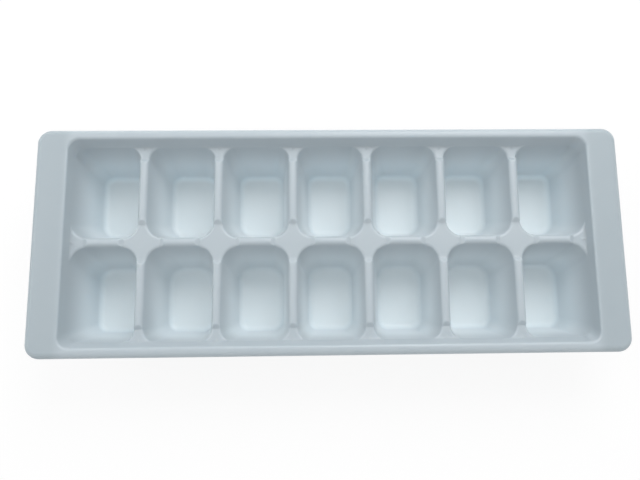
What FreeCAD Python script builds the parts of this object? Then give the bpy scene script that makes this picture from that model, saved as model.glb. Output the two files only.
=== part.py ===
import FreeCAD, Part
import math
import os

# Ice cube tray: one plastic moulding with two rows of tapered cells inside a shallow well, a narrow
# rim along both long sides and a wider flange at each end to hold and twist it by.
# The moulding is drawn in named regions that meet face to face: cells, ridges, rims and grips.
# Frame: millimetres, +X along the tray, +Y towards the back, +Z up.
# The origin is the centre of the plane that the cell floors stand on.

# Overall height, from the surface that the tray stands on to the top of the rim
tray_height = 37.0

# Walls of the moulding
wall = 1.6
floor_thickness = 1.8
deck_thickness = 2.2
rim_thickness = 1.8

# Cells, measured where they open into the well
cells_per_row = 7
cell_pitch_x = 32.5
cell_pitch_y = 44.6
cup_spacing = 0.7
crossing_corner = 6.8
rim_corner = 5.0
cell_floor_round = 3.0
cell_draft_x = 7.8
cell_draft_y = 10.4

# Ridges that stand on the land between the cells, round like a bead, and stop short of each crossing
ridge_rise = 1.45
ridge_slope_run = 2.1
ridge_end_gap = 5.25

# Well that joins the cells below the rim
well_depth = 5.8
well_setback_x = 2.05
well_setback_y = 2.2
well_lean_x = 1.0
well_lean_y = 2.45
well_corner = 4.5
well_edge_round = 1.0

# Rim, end grips and the lip that turns down round them
grip_width = 13.6
side_rim_width = 4.15
outer_corner = 6.0
lip_drop = 5.0
lip_wall = 1.6
lip_round = 2.6

# Levels
land_z = tray_height - well_depth
rim_underside_z = tray_height - rim_thickness
lip_bottom_z = tray_height - lip_drop

# Plan sizes that follow
divider_width = 2 * wall + cup_spacing
divider_half = divider_width / 2
foot_half_x = cells_per_row * cell_pitch_x / 2 - well_setback_x
foot_half_y = cell_pitch_y - well_setback_y
well_half_x = foot_half_x + well_lean_x
well_half_y = foot_half_y + well_lean_y
tray_half_x = well_half_x + grip_width
tray_half_y = well_half_y + side_rim_width
slope_x = math.tan(math.radians(cell_draft_x))
slope_y = math.tan(math.radians(cell_draft_y))
ridge_start = divider_half + ridge_end_gap
grip_cut_x = foot_half_x - max(rim_corner, well_corner)

# Smallest round that is still drawn
least_round = 0.3
tolerance = 1e-6


def centred_plan(half_x, half_y):
    """A rectangle about the origin, as (x low, x high, y low, y high)."""
    return (-half_x, half_x, -half_y, half_y)


def grown(plan, by_x, by_y):
    """The rectangle with its sides moved outwards."""
    x_low, x_high, y_low, y_high = plan
    return (x_low - by_x, x_high + by_x, y_low - by_y, y_high + by_y)


def rounded_outline(plan, radii, z):
    """A closed wire round the rectangle at height z, with arcs at its corners: (front, back) radii."""
    x_low, x_high, y_low, y_high = plan
    front, back = radii
    corners = [
        (x_high - front, y_low + front, front, -90),
        (x_high - back, y_high - back, back, 0),
        (x_low + back, y_high - back, back, 90),
        (x_low + front, y_low + front, front, 180),
    ]
    arcs = []
    for centre_x, centre_y, radius, start in corners:
        on_arc = []
        for turn in (0, 45, 90):
            angle = math.radians(start + turn)
            x = centre_x + radius * math.cos(angle)
            y = centre_y + radius * math.sin(angle)
            on_arc.append(FreeCAD.Vector(x, y, z))
        arcs.append(on_arc)
    edges = []
    for index, on_arc in enumerate(arcs):
        following = arcs[(index + 1) % len(arcs)]
        edges.append(Part.Arc(*on_arc).toShape())
        edges.append(Part.LineSegment(on_arc[-1], following[0]).toShape())
    return Part.Wire(edges)


def tapered_block(low_plan, low_z, low_radii, high_plan, high_z, high_radii):
    """A solid with rounded corners whose outline changes evenly from low_z to high_z."""
    low = rounded_outline(low_plan, low_radii, low_z)
    high = rounded_outline(high_plan, high_radii, high_z)
    return Part.makeLoft([low, high], True, True)


def straight_block(plan, low_z, high_z, radius):
    """An upright solid with four like corners."""
    base = Part.Face(rounded_outline(plan, (radius, radius), low_z))
    return base.extrude(FreeCAD.Vector(0, 0, high_z - low_z))


def plain_box(plan, low_z, high_z):
    """An upright box with sharp corners."""
    x_low, x_high, y_low, y_high = plan
    corner = FreeCAD.Vector(x_low, y_low, low_z)
    return Part.makeBox(x_high - x_low, y_high - y_low, high_z - low_z, corner)


def rounded_at(solid, z, radius, inside=None):
    """The solid with its edges at height z rounded, or only those inside a half size."""
    edges = []
    for edge in solid.Edges:
        box = edge.BoundBox
        level = abs(box.ZMin - z) < tolerance and abs(box.ZMax - z) < tolerance
        within = inside is None or max(abs(box.YMin), abs(box.YMax)) < inside
        if level and within:
            edges.append(edge)
    return solid.makeFillet(radius, edges)


def cell_opening(column, side):
    """The plan of one cell where it opens at the land: side is 1 at the back, -1 at the front."""
    middle = (column - (cells_per_row - 1) / 2) * cell_pitch_x
    x_low = max(middle - cell_pitch_x / 2 + divider_half, -foot_half_x)
    x_high = min(middle + cell_pitch_x / 2 - divider_half, foot_half_x)
    if side > 0:
        return (x_low, x_high, divider_half, foot_half_y)
    return (x_low, x_high, -foot_half_y, -divider_half)


def cell_share(column, side):
    """The plan of the deck that belongs to one cell, from divider middle to divider middle."""
    left = (column - cells_per_row / 2) * cell_pitch_x
    right = left + cell_pitch_x
    if column == 0:
        left = -foot_half_x - wall
    if column == cells_per_row - 1:
        right = foot_half_x + wall
    if side > 0:
        return (left, right, 0, foot_half_y + wall)
    return (left, right, -foot_half_y - wall, 0)


def tapered_cup(opening, side, bottom_z, extra, bottom_round):
    """The block from the land down to bottom_z that leans in with the cell's draft."""
    depth = land_z - bottom_z
    top = grown(opening, extra, extra)
    bottom = grown(top, -depth * slope_x, -depth * slope_y)
    radii = (crossing_corner + extra, rim_corner + extra)
    if side < 0:
        radii = radii[::-1]
    block = tapered_block(bottom, bottom_z, radii, top, land_z, radii)
    return rounded_at(block, bottom_z, bottom_round)


def make_cell(column, side):
    """One cup with its share of the deck round its mouth."""
    opening = cell_opening(column, side)
    cavity = tapered_cup(opening, side, floor_thickness, 0, cell_floor_round)
    cup = tapered_cup(opening, side, 0, wall, cell_floor_round + wall)
    well_outside = centred_plan(foot_half_x + wall, foot_half_y + wall)
    deck = plain_box(cell_share(column, side), land_z - deck_thickness, land_z)
    deck = deck.common(straight_block(well_outside, land_z - deck_thickness, land_z, rim_corner + wall))
    return cup.fuse(deck).cut(cavity).removeSplitter()


def ridge_bar(length):
    """A bead along X from the origin, round across and sloped at both ends."""
    left = FreeCAD.Vector(0, -divider_half, 0)
    top = FreeCAD.Vector(0, 0, ridge_rise)
    right = FreeCAD.Vector(0, divider_half, 0)
    outline = Part.Wire([Part.Arc(left, top, right).toShape(), Part.LineSegment(right, left).toShape()])
    bar = Part.Face(outline).extrude(FreeCAD.Vector(length, 0, 0))
    side_view = [
        FreeCAD.Vector(0, -divider_half, 0),
        FreeCAD.Vector(length, -divider_half, 0),
        FreeCAD.Vector(length - ridge_slope_run, -divider_half, ridge_rise),
        FreeCAD.Vector(ridge_slope_run, -divider_half, ridge_rise),
    ]
    side_wire = Part.makePolygon(side_view + side_view[:1])
    sloped = Part.Face(side_wire).extrude(FreeCAD.Vector(0, divider_width, 0))
    return bar.common(sloped)


def make_spine_ridges():
    """The ridges along the middle of the tray, one between each two crossings."""
    bars = []
    for column in range(cells_per_row):
        start = (column - cells_per_row / 2) * cell_pitch_x + ridge_start
        bar = ridge_bar(cell_pitch_x - 2 * ridge_start)
        bar.translate(FreeCAD.Vector(start, 0, land_z))
        bars.append(bar)
    return Part.makeCompound(bars)


def make_divider_ridges(side):
    """The ridges between the cells of one row, each from the spine towards the rim."""
    bars = []
    for column in range(1, cells_per_row):
        x = (column - cells_per_row / 2) * cell_pitch_x
        bar = ridge_bar(cell_pitch_y - 2 * ridge_start)
        bar.rotate(FreeCAD.Vector(0, 0, 0), FreeCAD.Vector(0, 0, 1), 90 * side)
        bar.translate(FreeCAD.Vector(x, side * ridge_start, land_z))
        bars.append(bar)
    return Part.makeCompound(bars)


def make_rim_ring():
    """The whole rim: flange, turned-down lip and the leaning wall of the well."""
    tray = centred_plan(tray_half_x, tray_half_y)
    foot = centred_plan(foot_half_x, foot_half_y)
    well = centred_plan(well_half_x, well_half_y)
    plate = straight_block(tray, lip_bottom_z, tray_height, outer_corner)
    plate = rounded_at(plate, tray_height, lip_round)
    pocket_round = max(lip_round - lip_wall, least_round)
    pocket_plan = grown(tray, -lip_wall, -lip_wall)
    pocket = straight_block(pocket_plan, lip_bottom_z, rim_underside_z, outer_corner - lip_wall)
    pocket = rounded_at(pocket, rim_underside_z, pocket_round)
    foot_outside = grown(foot, wall, wall)
    well_outside = grown(well, wall, wall)
    foot_corners = (rim_corner + wall, rim_corner + wall)
    well_corners = (well_corner + wall, well_corner + wall)
    wall_outside = tapered_block(foot_outside, land_z, foot_corners, well_outside, tray_height, well_corners)
    hollow = tapered_block(
        foot, land_z, (rim_corner, rim_corner), well, tray_height, (well_corner, well_corner))
    ring = plate.cut(pocket).fuse(wall_outside).cut(hollow).removeSplitter()
    return rounded_at(ring, tray_height, well_edge_round, well_half_y + tolerance)


def make_rims_and_grips():
    """The ring cut into two straight rims and two end grips that hold the corners."""
    ring = make_rim_ring()
    x_far = tray_half_x + wall
    y_far = tray_half_y + wall
    plans = {
        "rim_back": (-grip_cut_x, grip_cut_x, 0, y_far),
        "rim_front": (-grip_cut_x, grip_cut_x, -y_far, 0),
        "grip_left": (-x_far, -grip_cut_x, -y_far, y_far),
        "grip_right": (grip_cut_x, x_far, -y_far, y_far),
    }
    pieces = {}
    for name, plan in plans.items():
        pieces[name] = ring.common(plain_box(plan, land_z - wall, tray_height + wall))
    return pieces


def main():
    regions = make_rims_and_grips()
    regions["spine_ridges"] = make_spine_ridges()
    regions["divider_ridges_back"] = make_divider_ridges(1)
    regions["divider_ridges_front"] = make_divider_ridges(-1)
    for column in range(cells_per_row):
        regions[f"cell_back_{column + 1}"] = make_cell(column, 1)
        regions[f"cell_front_{column + 1}"] = make_cell(column, -1)
    os.makedirs("parts", exist_ok=True)
    for name, shape in regions.items():
        solids = len(shape.Solids)
        print(f"{name}: {solids} solid(s), {shape.Volume:.1f} mm3, valid {shape.isValid()}")
        shape.exportStep(f"parts/{name}.step")


main()
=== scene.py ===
# %% [markdown]
# # An ice cube tray in one skin
#
# The tray is a single polypropylene moulding. Two rows of tapered cells hang in a shallow well, low
# rounded ridges part the cells, and a rim with a turned-down lip runs round them all. The tray could
# be dressed region by region, as the construction model has it. But real moulded plastic has no seams
# where the regions meet, and every edge of it is softly rounded. So the whole moulding is drawn again
# here as one closed skin, and the construction model gives its real sizes.

import math
from collections import namedtuple

import bmesh
import bpy
from mathutils import Matrix, Vector


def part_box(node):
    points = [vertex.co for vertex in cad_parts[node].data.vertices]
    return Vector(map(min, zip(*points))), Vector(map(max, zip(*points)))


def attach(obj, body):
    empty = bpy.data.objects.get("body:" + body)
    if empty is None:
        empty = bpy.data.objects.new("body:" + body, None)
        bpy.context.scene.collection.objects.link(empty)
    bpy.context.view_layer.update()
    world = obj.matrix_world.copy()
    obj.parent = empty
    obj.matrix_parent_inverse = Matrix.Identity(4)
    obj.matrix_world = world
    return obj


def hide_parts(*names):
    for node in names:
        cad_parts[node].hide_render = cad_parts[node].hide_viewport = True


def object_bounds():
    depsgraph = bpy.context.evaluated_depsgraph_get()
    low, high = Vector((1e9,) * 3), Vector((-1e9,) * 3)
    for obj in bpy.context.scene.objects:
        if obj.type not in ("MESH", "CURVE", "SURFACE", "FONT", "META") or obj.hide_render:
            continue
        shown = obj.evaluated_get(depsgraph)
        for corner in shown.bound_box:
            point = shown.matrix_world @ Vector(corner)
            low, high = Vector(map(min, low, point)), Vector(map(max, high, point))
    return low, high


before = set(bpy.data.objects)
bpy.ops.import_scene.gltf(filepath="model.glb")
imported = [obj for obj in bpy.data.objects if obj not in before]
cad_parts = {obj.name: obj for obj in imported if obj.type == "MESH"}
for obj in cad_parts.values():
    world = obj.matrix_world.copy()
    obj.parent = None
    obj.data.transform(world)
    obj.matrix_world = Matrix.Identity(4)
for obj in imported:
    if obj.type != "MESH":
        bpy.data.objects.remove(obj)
cad_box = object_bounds()
MM = 0.001
print("CAD nodes:", len(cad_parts), "box in mm:", [round(v / MM, 2) for v in cad_box[1] - cad_box[0]])

# %% [markdown]
# ## Sizes
#
# On the real tray the sizes come from its mould, and here they come from the construction model. The
# boxes round its nodes give the pitch of the cells, the walls, the levels of the land and the ridges,
# and the rim. They could be typed in again, but then a change in the model would not reach this
# script. Only drafts, rounds and hidden walls, which a box can't show, are written here, each where it
# is first needed. All lengths are in millimetres.


# %% Read the sizes from the nodes
def box_of(node):
    """The lowest and highest corner of a construction node, in millimetres."""
    low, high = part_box(node)
    return [v / MM for v in low], [v / MM for v in high]


COLUMNS = sum(name.startswith("cell_back_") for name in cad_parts)
cup_low, cup_high = box_of(f"cell_back_{(COLUMNS + 1) // 2}")
end_cup_high = box_of(f"cell_back_{COLUMNS}")[1]
spine_high = box_of("spine_ridges")[1]
divider_low, divider_high = box_of("divider_ridges_back")

TRAY_X, TRAY_Y, TOP = [v / MM for v in cad_box[1]]
LAND = cup_high[2]
PITCH = cup_high[0] - cup_low[0]
FOOT_Y = box_of("rim_back")[0][1]
WALL = cup_high[1] - FOOT_Y
FOOT_X = end_cup_high[0] - WALL
HALF_DIVIDER = spine_high[1]
RIDGE = spine_high[2] - LAND
RIDGE_FROM = divider_low[1]
PITCH_Y = RIDGE_FROM + divider_high[1]
print(f"{COLUMNS} columns, pitch {PITCH:.2f}, land at {LAND:.2f}, ridge {RIDGE:.2f} above it")
print(f"the well's walls stand on the land at x {FOOT_X:.2f} and y {FOOT_Y:.2f}")

# %% [markdown]
# ## How one cell is drawn
#
# A cell is a tapered cup with rounded corners. It could be cut out of a block with a boolean, but that
# leaves long thin faces that shade badly on soft rounds. Instead each cell is a stack of closed rings
# with the same number of points, joined by four-sided faces. Each ring is a rounded rectangle, and a
# point on it is a station: a place on one of the four sides, or an angle on one of the four corners.
# The same stations serve every ring, so the faces run straight down the walls. They lie closer
# together where a ridge ends, because its slope needs them.

# %% What belongs to one cell
# Radii of a cell's corners, where it meets a crossing and where it meets the rim
CROSSING_CORNER = 6.8
RIM_CORNER = 5.0
SIDE_NORMALS = [(1, 0), (0, 1), (-1, 0), (0, -1)]
Cell = namedtuple("Cell", "mouth reach radii")


def make_cell(column, side):
    """A cell's mouth, how far its land reaches beyond each side, and the radii of its corners."""
    middle = (column - (COLUMNS - 1) / 2) * PITCH
    first, last = column == 0, column == COLUMNS - 1
    x_low = -FOOT_X if first else middle - PITCH / 2 + HALF_DIVIDER
    x_high = FOOT_X if last else middle + PITCH / 2 - HALF_DIVIDER
    y_low, y_high = (HALF_DIVIDER, FOOT_Y) if side > 0 else (-FOOT_Y, -HALF_DIVIDER)
    reach = [
        0 if last else HALF_DIVIDER,
        0 if side > 0 else HALF_DIVIDER,
        0 if first else HALF_DIVIDER,
        HALF_DIVIDER if side > 0 else 0,
    ]
    back, front = (RIM_CORNER, CROSSING_CORNER) if side > 0 else (CROSSING_CORNER, RIM_CORNER)
    return Cell((x_low, x_high, y_low, y_high), reach, [back, back, front, front])


print("mouth of the first cell:", [round(v, 2) for v in make_cell(0, 1).mouth])

# %% Where a ridge's slopes lie along a side
# A ridge starts a little inside its construction node at both ends
RIDGE_SLOPE = 2.1
RIDGE_FOOT = RIDGE_FROM + 0.5
RIM_FOOT = PITCH_Y - RIDGE_FROM - 0.2
SLOPE_STEPS = 8


def slope_places(cell, side, corner):
    """Where a ridge slopes near one end of a side, as distances from the end of the corner's arc."""
    along_x = side % 2 == 1
    from_rim = (corner < 2) == (cell.mouth[3] > 0)
    foot = FOOT_Y - RIM_FOOT if from_rim and not along_x else RIDGE_FOOT
    other = cell.reach[corner if corner != side else (side + 1) % 4]
    if along_x and not other:
        foot = RIDGE_FOOT - (PITCH * COLUMNS / 2 - FOOT_X)
    arc_end = cell.radii[corner] + other
    return [foot + RIDGE_SLOPE * step / SLOPE_STEPS - arc_end for step in range(SLOPE_STEPS + 1)]


print(f"a ridge rises over {RIDGE_SLOPE} from {RIDGE_FOOT:.2f} beside a crossing")

# %% Stations round a cell
CORNER_STEPS = 6
LONG_STEP = 3.6
TINY = 1e-6


def side_places(cell, side, length):
    """Distances along the straight part of a side, closer together where a ridge slopes."""
    near, far = [0.0], [0.0]
    if cell.reach[side]:
        near += [place for place in slope_places(cell, side, (side - 1) % 4) if place > TINY]
        far += [place for place in slope_places(cell, side, side) if place > TINY]
    gap = length - near[-1] - far[-1]
    count = max(2, round(gap / LONG_STEP))
    middle = [near[-1] + gap * step / count for step in range(1, count)]
    return near + middle + [length - place for place in reversed(far)]


def half_corner(cell, side, corner, split):
    """Angles from the end of a side into the corner, up to the one at the corner of its share."""
    width = cell.radii[corner] + cell.reach[side]
    fine = []
    if cell.reach[side]:
        fine = [-place for place in slope_places(cell, side, corner) if place < -TINY]
    angles = sorted(math.atan(place / width) for place in fine)
    start = angles[-1] if angles else 0.0
    return angles + [start + (split - start) * step / CORNER_STEPS for step in range(1, CORNER_STEPS + 1)]


def corner_angles(cell, corner):
    """Angles of a corner's points, in radians, with one that points at the corner of its share."""
    following = (corner + 1) % 4
    here = cell.radii[corner] + cell.reach[corner]
    there = cell.radii[corner] + cell.reach[following]
    split = math.atan2(there, here)
    first = half_corner(cell, corner, corner, split)
    second = half_corner(cell, following, corner, math.pi / 2 - split)
    return first + [math.pi / 2 - angle for angle in reversed(second[:-1])]


def stations_of(cell):
    """Every station round a cell, anticlockwise from the start of its right side."""
    x_low, x_high, y_low, y_high = cell.mouth
    lengths = [y_high - y_low, x_high - x_low] * 2
    stations = []
    for side in range(4):
        length = lengths[side] - cell.radii[side - 1] - cell.radii[side]
        for place in side_places(cell, side, length):
            stations.append(("side", side, place / length))
        for angle in corner_angles(cell, side):
            stations.append(("corner", side, angle))
    return stations


print("stations round the first cell:", len(stations_of(make_cell(0, 1))))


# %% The point of a station on a rounded rectangle
def corner_centres(box, radii):
    """The centres of the four corner arcs of a rounded rectangle."""
    x_low, x_high, y_low, y_high = box
    return [
        (x_high - radii[0], y_high - radii[0]), (x_low + radii[1], y_high - radii[1]),
        (x_low + radii[2], y_low + radii[2]), (x_high - radii[3], y_low + radii[3]),
    ]


def on_outline(box, inset, radii, station):
    """The point of a station on a rounded rectangle that is moved inwards by (x, y)."""
    box = (box[0] + inset[0], box[1] - inset[0], box[2] + inset[1], box[3] - inset[1])
    centres = corner_centres(box, radii)
    kind, side, value = station
    if kind == "corner":
        angle = side * math.pi / 2 + value
        centre, radius = centres[side], radii[side]
        return (centre[0] + radius * math.cos(angle), centre[1] + radius * math.sin(angle))
    start, end = centres[side - 1], centres[side]
    x = start[0] + (end[0] - start[0]) * value
    y = start[1] + (end[1] - start[1]) * value
    if side % 2 == 0:
        return (box[1] if side == 0 else box[0], y)
    return (x, box[3] if side == 1 else box[2])


# %% The edge of a cell's share
def share_edge(cell, station):
    """Where a station's ray meets the edge of the cell's share, and the outer normal or None there."""
    kind, side, value = station
    x, y = on_outline(cell.mouth, (0, 0), cell.radii, station)
    reach = cell.reach
    if kind == "side":
        normal = SIDE_NORMALS[side]
        edge = (x + normal[0] * reach[side], y + normal[1] * reach[side])
        return edge, (None if reach[side] else normal)
    following = (side + 1) % 4
    angle = side * math.pi / 2 + value
    ray = (math.cos(angle), math.sin(angle))
    if not reach[side] and not reach[following]:
        return (x, y), ray
    radius = cell.radii[side]
    here = (radius + reach[side]) / math.cos(value)
    there = (radius + reach[following]) / math.sin(value)
    far = min(here, there) - radius
    edge = (x + ray[0] * far, y + ray[1] * far)
    near_equal = abs(here - there) < TINY
    if not reach[side] and (here < there or near_equal):
        return edge, SIDE_NORMALS[side]
    if not reach[following] and (there < here or near_equal):
        return edge, SIDE_NORMALS[following]
    return edge, None


print("its first station reaches:", [round(v, 2) for v in share_edge(make_cell(0, 1), ("side", 0, 0.0))[0]])

# %% [markdown]
# ## The land and the ridges
#
# Between two cells the plastic turns over from one wall into the next. On a crossing it is flat land
# that lets the water level out, and between crossings it rises into a rounded ridge. A ridge could be
# a separate bar laid on the land, but its foot would then cut through the mesh instead of growing out
# of it. So both forms are written as the same number of points from the cell's wall to the middle of
# the divider, and one blends into the other where the ridge slopes down.


# %% Curves made of a few points
def mix(a, b, share):
    """The point that lies the given share of the way from a to b."""
    return tuple(p + (q - p) * share for p, q in zip(a, b))


def turn(start, corner, end, steps):
    """Points on a smooth bend from start to end that is pulled towards the corner."""
    points = []
    for step in range(steps + 1):
        share = step / steps
        points.append(mix(mix(start, corner, share), mix(corner, end, share), share))
    return points


def towards(start, end, length):
    """The point at a length from start towards end, at most half way."""
    distance = math.dist(start, end)
    if distance < TINY:
        return start
    return mix(start, end, min(0.5, length / distance))


def soft(share):
    """Rises gently from 0 to 1."""
    share = min(1, max(0, share))
    return share * share * (3 - 2 * share)


# %% How high a ridge stands above the land at any point
BEAD_RADIUS = (HALF_DIVIDER ** 2 + RIDGE ** 2) / (2 * RIDGE)
END_SOFTNESS = 0.25


def bead(across, along):
    """The height of a round ridge, across from its middle line and along from the foot of its end."""
    if across >= HALF_DIVIDER or along <= 0:
        return 0.0
    section = math.sqrt(BEAD_RADIUS ** 2 - across ** 2) - BEAD_RADIUS + RIDGE
    slope = RIDGE * along / RIDGE_SLOPE
    overlap = max(0.0, END_SOFTNESS - abs(section - slope))
    return max(0.0, min(section, slope) - overlap ** 2 / (4 * END_SOFTNESS))


def ridge_height(x, y):
    """The height of the spine's ridge or of a divider's ridge over a point, whichever is there."""
    place = x / PITCH + COLUMNS / 2
    to_crossing = abs(place - round(place)) * PITCH
    height = bead(abs(y), to_crossing - RIDGE_FOOT)
    if 0 < round(place) < COLUMNS:
        height = max(height, bead(to_crossing, min(abs(y) - RIDGE_FOOT, RIM_FOOT - abs(y))))
    return height


print(f"the ridge's round has a radius of {BEAD_RADIUS:.2f}")
print(f"at the tray's middle the ridge is {ridge_height(0, 0):.2f} high")

# %% The strip from a cell's wall to the edge of its share, seen from above
MOUTH_ROUND = 1.0
STRIP_STEPS = 9
MOUTH_STEPS = 3
JOIN_STEPS = 4


def land_strip(wall_top, mouth_edge, share_point, wall_join):
    """The flat land between the mouth's soft edge and the middle line, or the foot of the well."""
    rounded = turn(wall_top, mouth_edge, towards(mouth_edge, share_point, MOUTH_ROUND), MOUTH_STEPS)
    rest = STRIP_STEPS - MOUTH_STEPS
    if wall_join is None:
        return rounded + [mix(rounded[-1], share_point, step / rest) for step in range(1, rest + 1)]
    rest -= JOIN_STEPS
    foot = towards(share_point, mouth_edge, MOUTH_ROUND)
    flat = [mix(rounded[-1], foot, step / rest) for step in range(1, rest + 1)]
    return rounded + flat + turn(foot, share_point, wall_join, JOIN_STEPS)[1:]


def ridge_strip(wall_top, mouth_edge, share_point):
    """Points under a ridge, spaced so that they lie evenly round its bead."""
    steep = math.asin(HALF_DIVIDER / BEAD_RADIUS)
    points = [wall_top]
    for step in range(STRIP_STEPS):
        angle = steep * (1 - step / (STRIP_STEPS - 1))
        points.append(mix(share_point, mouth_edge, math.sin(angle) / math.sin(steep)))
    return points


def wall_strip(wall_top, mouth_edge, wall_join):
    """The plain wall where a cell opens straight into the well's wall."""
    down = math.dist(wall_top, mouth_edge)
    up = math.dist(mouth_edge, wall_join)
    points = []
    for step in range(STRIP_STEPS):
        along = (down + up) * step / STRIP_STEPS
        if along < down:
            points.append(mix(wall_top, mouth_edge, along / down))
        else:
            points.append(mix(mouth_edge, wall_join, (along - down) / up))
    return points + [wall_join]


# %% [markdown]
# ## The rim as rings round the whole tray
#
# The rim is the flat flange round the tray, wider at both ends as a grip, with a lip that turns down.
# It could be a profile swept round a path, but then it would not share its points with the cells. So
# the skin goes on from the cells as rings round the whole tray: up the leaning wall of the well, over
# its soft edge, across the flange, round the lip and back underneath. A ring is given by its two half
# sizes, its corner radius and its height, and takes its points from the stations of the cells.


# %% A point of a ring round the tray
def ring_point(base, normal, half_x, half_y, radius, z):
    """The point of a ring that belongs to a point on the well's foot with the given normal."""
    if abs(normal[0]) > 1 - TINY:
        along = base[1] * (half_y - radius) / (FOOT_Y - RIM_CORNER)
        return (math.copysign(half_x, normal[0]), along, z)
    if abs(normal[1]) > 1 - TINY:
        along = base[0] * (half_x - radius) / (FOOT_X - RIM_CORNER)
        return (along, math.copysign(half_y, normal[1]), z)
    centre_x = math.copysign(half_x - radius, normal[0])
    centre_y = math.copysign(half_y - radius, normal[1])
    return (centre_x + normal[0] * radius, centre_y + normal[1] * radius, z)


# %% Rings on the well and on the outside
WELL_LEAN_X = 1.0
WELL_LEAN_Y = 2.45
WELL_CORNER = 4.5
OUTER_CORNER = 6.0
DECK_WALL = 2.2
EDGE_CUT = 0.2
JOIN_ABOVE_LAND = 0.9


def well_ring(z, out=0.0):
    """The ring on the well's wall at height z, or on its outside with out as the wall."""
    share = (z - LAND) / (TOP - LAND)
    half_x = FOOT_X + WELL_LEAN_X * share + out
    half_y = FOOT_Y + WELL_LEAN_Y * share + out
    radius = RIM_CORNER + (WELL_CORNER - RIM_CORNER) * share + out
    return (half_x, half_y, radius, z)


def outer_ring(inset, z):
    """The ring that lies inside the tray's outline by inset."""
    return (TRAY_X - inset, TRAY_Y - inset, OUTER_CORNER - inset, z)


JOIN_TOP = well_ring(LAND + JOIN_ABOVE_LAND)
JOIN_UNDER = (FOOT_X + WALL - EDGE_CUT, FOOT_Y + WALL - EDGE_CUT, RIM_CORNER + WALL - EDGE_CUT,
              LAND - DECK_WALL + EDGE_CUT)
print("half sizes of the well's opening:", [round(v, 2) for v in well_ring(TOP)[:2]])

# %% The well's wall, the flange and the lip, seen from above
# Heights of the rings on the well's wall, above the one that joins the cells
WELL_STEPS = (1.0, 2.4)
WELL_ROUND = 1.0
WELL_ROUND_STEPS = 6
FLAT_STEPS = 4
LIP_ROUND = 2.6
LIP_ROUND_STEPS = 9


def upper_rings():
    """The rings from the well's wall over the flange to the end of the lip's round."""
    rings = [well_ring(LAND + JOIN_ABOVE_LAND + height) for height in WELL_STEPS]
    corner = well_ring(TOP)
    flange_start = (corner[0] + WELL_ROUND, corner[1] + WELL_ROUND, corner[2] + WELL_ROUND, TOP)
    rings += turn(well_ring(TOP - WELL_ROUND), corner, flange_start, WELL_ROUND_STEPS)
    flange_end = outer_ring(LIP_ROUND, TOP)
    rings += [mix(flange_start, flange_end, step / FLAT_STEPS) for step in range(1, FLAT_STEPS)]
    for step in range(LIP_ROUND_STEPS + 1):
        angle = math.pi / 2 * step / LIP_ROUND_STEPS
        inset = LIP_ROUND * (1 - math.sin(angle))
        rings.append(outer_ring(inset, TOP - LIP_ROUND * (1 - math.cos(angle))))
    return rings


print("rings seen from above:", len(upper_rings()))

# %% The lip's lower edge, the underside and the outside of the well
LIP_DROP = 5.0
LIP_WALL = 1.6
LIP_EDGE = 0.6
RIM_WALL = 1.8
UNDER_ROUND = 0.7
EDGE_STEPS = 4
# An extra ring this far from an edge keeps its shading tight
LIP_HOLD = 0.5
DECK_HOLD = 0.6


def lip_rings():
    """The rings round the lower edge of the lip."""
    low = TOP - LIP_DROP
    rings = [outer_ring(0, low + LIP_EDGE + LIP_HOLD)]
    rings += turn(outer_ring(0, low + LIP_EDGE), outer_ring(0, low), outer_ring(LIP_EDGE, low), EDGE_STEPS)
    inner_start = outer_ring(LIP_WALL - LIP_EDGE, low)
    inner_end = outer_ring(LIP_WALL, low + LIP_EDGE)
    return rings + turn(inner_start, outer_ring(LIP_WALL, low), inner_end, EDGE_STEPS)


def under_rings():
    """The rings from inside the lip, under the flange and down the outside of the well."""
    under = TOP - RIM_WALL
    rings = turn(
        outer_ring(LIP_WALL, under - UNDER_ROUND), outer_ring(LIP_WALL, under),
        outer_ring(LIP_WALL + UNDER_ROUND, under), EDGE_STEPS)
    root = well_ring(under, WALL)
    beside_root = (root[0] + UNDER_ROUND, root[1] + UNDER_ROUND, root[2] + UNDER_ROUND, under)
    rings += [mix(rings[-1], beside_root, step / FLAT_STEPS) for step in range(1, FLAT_STEPS)]
    rings += turn(beside_root, root, well_ring(under - UNDER_ROUND, WALL), EDGE_STEPS)
    foot = well_ring(LAND, WALL)
    rings += [well_ring((under - UNDER_ROUND + LAND) / 2, WALL), foot]
    return rings + [(*foot[:3], LAND - DECK_WALL + DECK_HOLD)]


print("rings round the lip and underneath:", len(lip_rings()) + len(under_rings()))

# %% [markdown]
# ## Walls and floors of the cells
#
# Each cell leans in by its draft, which lets the ice and the mould slide out, and turns into its
# floor with a wide round. A bevel modifier could make that round, but it would change the number of
# points and open the joins. So the wall and its round are one profile of insets and depths, and each
# ring follows it. The outside of the cup is the same form one wall thickness further out.

# %% The profile down one wall and round onto the floor
DRAFT_X = math.tan(math.radians(7.8))
DRAFT_Y = math.tan(math.radians(10.4))
WALL_STEPS = 5
ROUND_STEPS = 8


def wall_profile(depth, lean, radius):
    """Pairs of inset and drop from the top of a leaning wall to the end of its floor round."""
    draft = math.atan(lean)
    tangent = radius * math.tan((math.pi / 2 - draft) / 2)
    centre_inset = depth * lean + tangent
    centre_drop = depth - radius
    start_inset = centre_inset - radius * math.cos(draft)
    start_drop = centre_drop + radius * math.sin(draft)
    pairs = []
    for step in range(1, WALL_STEPS):
        share = step / WALL_STEPS
        pairs.append((start_inset * share, start_drop * share))
    for step in range(ROUND_STEPS + 1):
        angle = draft + (math.pi / 2 - draft) * step / ROUND_STEPS
        pairs.append((centre_inset - radius * math.cos(angle), centre_drop + radius * math.sin(angle)))
    return pairs


print("rings down a wall and round onto the floor:", len(wall_profile(LAND, DRAFT_X, WALL)))

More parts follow.
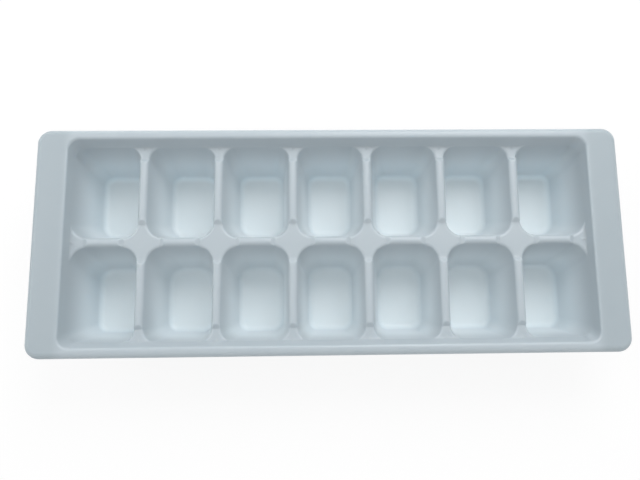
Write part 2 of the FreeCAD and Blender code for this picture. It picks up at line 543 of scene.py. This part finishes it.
# %% The rings of one cup
def cup_rings(cell, stations, bottom_z, out, radius, skip):
    """The rings of a cup's wall and floor; out is 0 for its inside and the wall for its outside."""
    x_low, x_high, y_low, y_high = cell.mouth
    grown = (x_low - out, x_high + out, y_low - out, y_high + out)
    by_x = wall_profile(LAND - bottom_z, DRAFT_X, radius)
    by_y = wall_profile(LAND - bottom_z, DRAFT_Y, radius)
    last_wall = WALL_STEPS - 1
    rings = []
    for at_x, at_y in zip(by_x, by_y):
        if min(at_x[1], at_y[1]) <= skip:
            continue
        tighter = min(at_x[0] - by_x[last_wall][0], at_y[0] - by_y[last_wall][0])
        radii = [corner + out - max(0.0, tighter) for corner in cell.radii]
        ring = []
        for station in stations:
            x, y = on_outline(grown, (at_x[0], at_y[0]), radii, station)
            kind, side, value = station
            around = side * math.pi / 2 + (value if kind == "corner" else 0)
            ring.append((x, y, LAND - at_x[1] - (at_y[1] - at_x[1]) * math.sin(around) ** 2))
        rings.append(ring)
    return rings


# %% [markdown]
# ## Building the skin
#
# The rings of all cells, above and below, and the rings of the rim go into one mesh. The regions could
# be joined with booleans afterwards, but here it isn't needed: neighbours write the same points on
# their shared edge, so merging the doubles closes the skin.

# %% A builder for rings and faces
FLOOR_RINGS = 3


class Skin:
    """Collects rings of points and the faces between them."""

    def __init__(self):
        self.points = []
        self.faces = []

    def ring(self, points):
        """Adds a ring of points in metres and returns their numbers."""
        start = len(self.points)
        self.points += points
        return list(range(start, start + len(points)))

    def bridge(self, one, other):
        """Joins two rings with four-sided faces."""
        for index in range(len(one)):
            after = (index + 1) % len(one)
            self.faces.append((one[index], one[after], other[after], other[index]))

    def stack(self, rings):
        """Adds rings that are given in millimetres, one upon the other, and returns the last."""
        made = [self.ring([(x * MM, y * MM, z * MM) for x, y, z in points]) for points in rings]
        for one, other in zip(made, made[1:]):
            self.bridge(one, other)
        return made[-1]

    def close(self, ring):
        """Fills a flat ring with smaller rings and a point in the middle."""
        points = [self.points[index] for index in ring]
        centre = tuple(sum(values) / len(points) for values in zip(*points))
        last = ring
        for step in range(1, FLOOR_RINGS + 1):
            inner = self.ring([mix(point, centre, step / (FLOOR_RINGS + 1)) for point in points])
            self.bridge(last, inner)
            last = inner
        middle = self.ring([centre])[0]
        for index in range(len(last)):
            self.faces.append((last[index], last[(index + 1) % len(last)], middle))


# %% One cell, seen from above
BLEND_WIDTH = 1.2


def top_columns(cell, stations):
    """For every station, the points from the cell's wall to the edge of its share."""
    columns = []
    down = (MOUTH_ROUND * DRAFT_X, MOUTH_ROUND * DRAFT_Y)
    for station in stations:
        wall_top = (*on_outline(cell.mouth, down, cell.radii, station), LAND - MOUTH_ROUND)
        mouth_edge = (*on_outline(cell.mouth, (0, 0), cell.radii, station), LAND)
        share_plan, normal = share_edge(cell, station)
        share_point = (*share_plan, LAND)
        if normal is None:
            land = land_strip(wall_top, mouth_edge, share_point, None)
            ridge = ridge_strip(wall_top, mouth_edge, share_point)
            on_ridge = soft(2 * ridge_height(*share_plan) / RIDGE)
            strip = [mix(low, high, on_ridge) for low, high in zip(land, ridge)]
            strip = strip[:1] + [(x, y, z + ridge_height(x, y)) for x, y, z in strip[1:]]
        else:
            join = ring_point(share_plan, normal, *JOIN_TOP)
            width = math.dist(mouth_edge, share_point)
            wall = wall_strip(wall_top, mouth_edge, join)
            land = land_strip(wall_top, mouth_edge, share_point, join)
            strip = [mix(a, b, soft(width / BLEND_WIDTH)) for a, b in zip(wall, land)]
        columns.append(strip)
    return columns


# %% One cell, seen from below
UNDER_BLEND = 2.4
GROOVE_DEPTH = 1.2
GROOVE_STEPS = 5


def under_columns(cell, stations):
    """The same from below: from the cup's outside to the middle line or the deck's outer edge."""
    columns = []
    x_low, x_high, y_low, y_high = cell.mouth
    grown = (x_low - WALL, x_high + WALL, y_low - WALL, y_high + WALL)
    radii = [corner + WALL for corner in cell.radii]
    deck = LAND - DECK_WALL
    lower = DECK_WALL + GROOVE_DEPTH
    rest = STRIP_STEPS - GROOVE_STEPS
    for station in stations:
        edge = (*on_outline(grown, (DECK_WALL * DRAFT_X, DECK_WALL * DRAFT_Y), radii, station), deck)
        start = (*on_outline(grown, (lower * DRAFT_X, lower * DRAFT_Y), radii, station), LAND - lower)
        share_plan, normal = share_edge(cell, station)
        end = (*share_plan, deck) if normal is None else ring_point(share_plan, normal, *JOIN_UNDER)
        share = soft((math.dist(edge, end) - BLEND_WIDTH / 2) / UNDER_BLEND)
        rounded = turn(start, edge, towards(edge, end, GROOVE_DEPTH), GROOVE_STEPS)
        flat = rounded + [mix(rounded[-1], end, step / rest) for step in range(1, rest + 1)]
        if normal is None:
            narrow = turn(start, edge, end, STRIP_STEPS)
        else:
            end = mix(edge, end, share)
            narrow = wall_strip(start, edge, end)
        strip = [mix(a, b, share) for a, b in zip(narrow, flat)]
        columns.append(strip[:-1] + [end])
    return columns


# %% Add one cell to the skin
FLOOR_WALL = 1.8
FLOOR_ROUND = 3.0
RING_GAP = 0.5


def add_cell(skin, column, side):
    """Adds one cell's inside and outside, and returns its points on the rim's two joins."""
    cell = make_cell(column, side)
    stations = stations_of(cell)
    above = top_columns(cell, stations)
    below = under_columns(cell, stations)
    groove = DECK_WALL + GROOVE_DEPTH
    inside = cup_rings(cell, stations, FLOOR_WALL, 0, FLOOR_ROUND, MOUTH_ROUND + RING_GAP)
    outside = cup_rings(cell, stations, 0, WALL, FLOOR_ROUND + WALL, groove + RING_GAP)
    for columns, cup in ((above, inside), (below, outside)):
        strips = [list(ring) for ring in zip(*columns)]
        strips.reverse()
        skin.close(skin.stack(strips + cup))
    edge = []
    for station, strip in zip(stations, below):
        share_plan, normal = share_edge(cell, station)
        if normal is not None:
            edge.append((share_plan, normal, strip[-1]))
    return edge


# %% Close the skin with the rim
def rim_stations(edge):
    """The stations round the whole tray, once each and in order round it."""
    seen = {}
    for base, normal, under in edge:
        seen.setdefault((round(base[0], 3), round(base[1], 3)), (base, normal, under))
    return sorted(seen.values(), key=lambda found: math.atan2(found[0][1], found[0][0]))


def make_skin():
    """The whole tray as one list of points and faces."""
    skin = Skin()
    edge = []
    for column in range(COLUMNS):
        for side in (1, -1):
            edge += add_cell(skin, column, side)
    stations = rim_stations(edge)
    rings = []
    for ring in [JOIN_TOP] + upper_rings() + lip_rings() + under_rings():
        rings.append([ring_point(base, normal, *ring) for base, normal, under in stations])
    rings.append([under for base, normal, under in stations])
    skin.stack(rings)
    return skin


skin = make_skin()
print("points", len(skin.points), "faces", len(skin.faces))

# %% Make the mesh and weld the shared edges
WELD = 0.002


def tray_mesh(skin):
    """The welded mesh, with every face turned outwards and shaded smooth."""
    mesh = bpy.data.meshes.new("tray_moulding")
    mesh.from_pydata(skin.points, [], skin.faces)
    work = bmesh.new()
    work.from_mesh(mesh)
    bmesh.ops.remove_doubles(work, verts=work.verts, dist=WELD * MM)
    bmesh.ops.dissolve_degenerate(work, edges=work.edges, dist=WELD * MM / 2)
    bmesh.ops.recalc_face_normals(work, faces=work.faces)
    open_edges = [edge for edge in work.edges if len(edge.link_faces) != 2]
    for face in work.faces:
        face.smooth = True
    volume = work.calc_volume(signed=True)
    work.to_mesh(mesh)
    work.free()
    print("open edges:", len(open_edges), "volume in cm3:", round(volume * 1e6, 2))
    return mesh


tray = bpy.data.objects.new("tray_moulding", tray_mesh(skin))
bpy.context.scene.collection.objects.link(tray)
print("faces after welding:", len(tray.data.polygons))

# %% Even out the shading and stand in for the construction nodes
weighted = tray.modifiers.new("weighted normals", "WEIGHTED_NORMAL")
weighted.mode = "FACE_AREA"
weighted.weight = 50
weighted.keep_sharp = True

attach(tray, "root")
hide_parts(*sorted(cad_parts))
print("the skin stands for", len(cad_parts), "nodes")

# %% [markdown]
# ## The plastic
#
# The tray is injection-moulded polypropylene, milky and slightly blue, with the satin skin that a
# finely blasted mould leaves. Light goes a little way into it, which softens the shade of every edge,
# and pale light from below comes back through the floors and walls of the cups. Full transmission
# could show that, but it is slow and noisy through fourteen thin cups. So the scattering is kept to
# the first millimetres, and that light is painted: the insides of the cups get a paler colour towards
# their floors. The two end grips are a shade deeper than the long sides, which is painted shade. Both
# follow the tray itself, from any side.


# %% Colours and nodes
def linear(hex_colour):
    """An sRGB hex colour as the linear values that shaders use."""
    values = []
    for start in (1, 3, 5):
        part = int(hex_colour[start:start + 2], 16) / 255
        values.append(part / 12.92 if part <= 0.04045 else ((part + 0.055) / 1.055) ** 2.4)
    return (*values, 1.0)


def add_node(tree, kind, properties=None, inputs=None):
    """Adds a node, sets its properties, and fills or links its inputs, given by name or number."""
    node = tree.nodes.new(kind)
    for name, value in (properties or {}).items():
        setattr(node, name, value)
    for name, value in (inputs or {}).items():
        if isinstance(value, bpy.types.NodeSocket):
            tree.links.new(value, node.inputs[name])
        else:
            node.inputs[name].default_value = linear(value) if isinstance(value, str) else value
    return node


RIM_COLOUR = "#B4BEC4"
print("rim colour in linear values:", [round(value, 3) for value in linear(RIM_COLOUR)[:3]])


# %% Which way a surface faces in its cell
# Keeps the painted light inside the cups and off their outsides
def facing_from_cell(tree, place):
    """Below 0 where a surface faces the middle of its own cell, and above 0 on its outside."""
    half_y = (HALF_DIVIDER + FOOT_Y) / 2 * MM
    middle = (0, half_y, LAND / 2 * MM)
    half_share = (PITCH / 2 * MM, half_y, TOP * MM)
    from_middle = add_node(
        tree, "ShaderNodeVectorMath", {"operation": "SUBTRACT"}, {0: place.outputs["Object"], 1: middle})
    in_one_cell = add_node(
        tree, "ShaderNodeVectorMath", {"operation": "WRAP"},
        {0: from_middle.outputs["Vector"], 1: half_share, 2: [-half for half in half_share]})
    facing = add_node(
        tree, "ShaderNodeVectorMath", {"operation": "DOT_PRODUCT"},
        {0: in_one_cell.outputs["Vector"], 1: place.outputs["Normal"]})
    return facing.outputs["Value"]


# %% A colour that changes along the tray, and an uneven surface
def changing_colour(tree, value, start, end, one, other):
    """A colour that turns gently from one to the other between two values in millimetres."""
    share = add_node(
        tree, "ShaderNodeMapRange", {"interpolation_type": "SMOOTHSTEP"},
        {"Value": value, "From Min": start * MM, "From Max": end * MM})
    mixed = add_node(
        tree, "ShaderNodeMixRGB", {}, {"Fac": share.outputs["Result"], "Color1": one, "Color2": other})
    return mixed.outputs["Color"]


def uneven(tree, place, width, height, inputs=None):
    """The normal of a surface with soft bumps of a width and a height in millimetres."""
    noise = add_node(
        tree, "ShaderNodeTexNoise", {},
        {"Vector": place.outputs["Object"], "Scale": 1 / (width * MM), "Detail": 1.0})
    bump = add_node(
        tree, "ShaderNodeBump", {}, {"Height": noise.outputs[0], "Distance": height * MM, **(inputs or {})})
    return bump.outputs["Normal"]


# %% Satin polypropylene
# The grips' colour is the plastic's colour darkened with painted shade
PAINTED_SHADE_GRIP_COLOUR = "#A8B3B9"
# The plastic's colour paled with painted light from below, on the cups' walls and floors
PAINTED_LIGHT_WALL_COLOUR = "#DBE3E7"
PAINTED_LIGHT_FLOOR_COLOUR = "#EAF2F6"
# The rim's colour turns to the grip's, deeper with painted shade, between these distances from the middle
GRIP_SHADE_STARTS, GRIP_SHADE_FULL = FOOT_X - 2, FOOT_X + 4
# Inside the cups, the walls' colour, paled with painted light, turns to the rim's between these heights
PAINTED_LIGHT_BELOW, RIM_ABOVE = 12, 33
FACING_BLEND = 1.0
# Polypropylene has an IOR of 1.49, and the finely blasted mould gives it a satin roughness
IOR, ROUGHNESS = 1.49, 0.36
MEAN_FREE_PATH = 1.2
# Plastic that shrinks over its ribs leaves slow waves
SINK_WIDTH, SINK_HEIGHT = 14.0, 0.03
# The mould's blasting is about 0.05 mm wide, and is drawn ten times as coarse so that it shows
GRAIN_WIDTH, GRAIN_HEIGHT = 0.5, 0.003


def satin_polypropylene():
    """Milky moulded polypropylene: soft highlights, soft shade, painted light inside the cups and painted
    shade on the grips.
    """
    material = bpy.data.materials.new("satin polypropylene")
    material.use_nodes = True
    tree = material.node_tree
    place = add_node(tree, "ShaderNodeTexCoord")
    x, y, z = add_node(tree, "ShaderNodeSeparateXYZ", {}, {"Vector": place.outputs["Object"]}).outputs
    outwards = add_node(tree, "ShaderNodeMath", {"operation": "ABSOLUTE"}, {0: x}).outputs["Value"]
    # Painted shade: the rim's colour darkens towards the end grips
    top = changing_colour(tree, outwards, GRIP_SHADE_STARTS, GRIP_SHADE_FULL, RIM_COLOUR, PAINTED_SHADE_GRIP_COLOUR)
    # Painted light: the cups' insides turn paler downwards, palest on their floors
    walls = changing_colour(tree, z, PAINTED_LIGHT_BELOW, RIM_ABOVE, PAINTED_LIGHT_WALL_COLOUR, top)
    inside = changing_colour(tree, z, FLOOR_WALL, FLOOR_WALL + FLOOR_ROUND, PAINTED_LIGHT_FLOOR_COLOUR, walls)
    # The painted light stays on surfaces that face into their own cell
    facing = facing_from_cell(tree, place)
    colour = changing_colour(tree, facing, -FACING_BLEND, FACING_BLEND, inside, top)
    sink = uneven(tree, place, SINK_WIDTH, SINK_HEIGHT)
    grain = uneven(tree, place, GRAIN_WIDTH, GRAIN_HEIGHT, {"Normal": sink})
    shader = tree.nodes["Principled BSDF"]
    tree.links.new(colour, shader.inputs["Base Color"])
    tree.links.new(grain, shader.inputs["Normal"])
    shader.inputs["Roughness"].default_value = ROUGHNESS
    shader.inputs["IOR"].default_value = IOR
    shader.inputs["Subsurface Weight"].default_value = 1.0
    shader.inputs["Subsurface Radius"].default_value = (1.0, 1.0, 1.0)
    shader.inputs["Subsurface Scale"].default_value = MEAN_FREE_PATH * MM
    return material


tray.data.materials.append(satin_polypropylene())
print("finish:", tray.data.materials[0].name, "with", len(tray.data.materials[0].node_tree.nodes), "nodes")

# %% [markdown]
# ## The white floor
#
# The tray is shown on plain white. A bright lamp on a white sheet would give that white, but it would
# wash out the tray as well. So the sheet is plain white paper that mixes in a glow only for the rays
# that show the background. The rest of it is lit as usual, and keeps the tray's soft shadow.

# %% The floor's sheet
FLOOR_REACH = 3.0
FLOOR_Z = -0.1 * MM
SHEET_CORNERS = [(-1, -1), (1, -1), (1, 1), (-1, 1)]

sheet = [(x * FLOOR_REACH, y * FLOOR_REACH, FLOOR_Z) for x, y in SHEET_CORNERS]
floor_mesh = bpy.data.meshes.new("floor")
floor_mesh.from_pydata(sheet, [], [(0, 1, 2, 3)])
floor = bpy.data.objects.new("floor", floor_mesh)
bpy.context.scene.collection.objects.link(floor)
print("the floor reaches", FLOOR_REACH, "m each way")

# %% White paper
GLOW_SHARE = 0.88


def seen_directly(tree):
    """A value that is 1 for the rays that show the background: camera, glossy and transmission."""
    path = add_node(tree, "ShaderNodeLightPath")
    seen = path.outputs["Is Camera Ray"]
    for name in ("Is Glossy Ray", "Is Transmission Ray"):
        either = add_node(
            tree, "ShaderNodeMath", {"operation": "MAXIMUM"}, {0: seen, 1: path.outputs[name]})
        seen = either.outputs["Value"]
    return seen


def white_paper():
    """Matt paper that takes the tray's shadow but looks nearly white where it is seen."""
    material = bpy.data.materials.new("white paper")
    material.use_nodes = True
    tree = material.node_tree
    paper = tree.nodes["Principled BSDF"]
    paper.inputs["Base Color"].default_value = linear("#F4F4F4")
    paper.inputs["Roughness"].default_value = 0.9
    glow = add_node(tree, "ShaderNodeEmission", {}, {"Color": "#FFFFFF", "Strength": 1.0})
    share = add_node(
        tree, "ShaderNodeMath", {"operation": "MULTIPLY"}, {0: seen_directly(tree), 1: GLOW_SHARE})
    both = add_node(
        tree, "ShaderNodeMixShader", {},
        {"Fac": share.outputs["Value"], 1: paper.outputs["BSDF"], 2: glow.outputs["Emission"]})
    tree.links.new(both.outputs["Shader"], tree.nodes["Material Output"].inputs["Surface"])
    return material


floor_mesh.materials.append(white_paper())
print("floor:", floor_mesh.materials[0].name, "glows by", GLOW_SHARE)

# %% [markdown]
# ## The light
#
# The photograph has soft light that comes from behind the tray: the walls that face the viewer are
# the darkest, and those that face away are pale. A sky picture could give it, but then the shade
# couldn't be set wall by wall. So an even white world gives the soft part, one large square lamp
# behind the tray stands for a window, and a weak one at its left for a white wall that reflects it.

# %% The world's even light
WORLD_LIGHT = 0.735

world = bpy.data.worlds.new("studio")
world.use_nodes = True
level = add_node(
    world.node_tree, "ShaderNodeMapRange", {},
    {"Value": seen_directly(world.node_tree), "To Min": WORLD_LIGHT, "To Max": 1.0})
background = world.node_tree.nodes["Background"]
background.inputs["Color"].default_value = linear("#FFFFFF")
world.node_tree.links.new(level.outputs["Result"], background.inputs["Strength"])
bpy.context.scene.world = world
print("the world lights the tray with", WORLD_LIGHT)

# %% The window and the white wall
LAMP_SIZE = 0.45


def area_light(name, place, power):
    """A square lamp at a place in metres that points at the tray's middle."""
    data = bpy.data.lights.new(name, "AREA")
    data.shape = "SQUARE"
    data.size = LAMP_SIZE
    data.energy = power
    lamp = bpy.data.objects.new(name, data)
    bpy.context.scene.collection.objects.link(lamp)
    lamp.location = place
    lamp.rotation_euler = (-Vector(place)).to_track_quat("-Z", "Y").to_euler()
    print(name, "at", place, "with", power, "W")


area_light("window", (0.15, 0.45, 0.62), 2.85)
area_light("white wall", (-0.5, 0.2, 0.5), 0.8)

# %% [markdown]
# ## The camera
#
# The photograph looks down on the tray from close by, a little from the front and slightly turned. The
# numbers here were fitted to the tray's edges, dividers and cell floors in the photograph. The picture
# was cropped off-centre, which turning the camera alone can't give, so the lens is shifted as well.

# %% Where the camera stands and where it looks
CAMERA_AT = (-4.25, -49.46, 295.15)
CAMERA_DOWN = math.radians(80.588)
CAMERA_TURN = math.radians(8.985)
CAMERA_ROLL = math.radians(8.352)


def camera_place():
    """The camera's place and axes as a matrix."""
    forward = Vector((
        math.cos(CAMERA_DOWN) * math.sin(CAMERA_TURN),
        math.cos(CAMERA_DOWN) * math.cos(CAMERA_TURN),
        -math.sin(CAMERA_DOWN),
    ))
    level = Vector((math.cos(CAMERA_TURN), -math.sin(CAMERA_TURN), 0))
    upright = level.cross(forward)
    right = math.cos(CAMERA_ROLL) * level + math.sin(CAMERA_ROLL) * upright
    up = -math.sin(CAMERA_ROLL) * level + math.cos(CAMERA_ROLL) * upright
    axes = Matrix((right, up, -forward)).transposed().to_4x4()
    return Matrix.Translation(Vector(CAMERA_AT) * MM) @ axes


print("the camera stands", round(Vector(CAMERA_AT).length), "mm from the tray's origin")

# %% The lens, in pixels of the photograph
FOCAL_PIXELS = 620.0
IMAGE_WIDTH, IMAGE_HEIGHT = 640, 480
AXIS_AT = (336.8, 255.1)

camera_data = bpy.data.cameras.new("camera")
camera_data.lens = FOCAL_PIXELS / IMAGE_WIDTH * camera_data.sensor_width
camera_data.shift_x = (IMAGE_WIDTH / 2 - AXIS_AT[0]) / IMAGE_WIDTH
camera_data.shift_y = (AXIS_AT[1] - IMAGE_HEIGHT / 2) / IMAGE_WIDTH
camera = bpy.data.objects.new("camera", camera_data)
bpy.context.scene.collection.objects.link(camera)
camera.matrix_world = camera_place()
bpy.context.scene.camera = camera
bpy.context.scene.view_settings.view_transform = "Standard"
print(f"lens {camera_data.lens:.2f} mm, shift {camera_data.shift_x:.4f} and {camera_data.shift_y:.4f}")
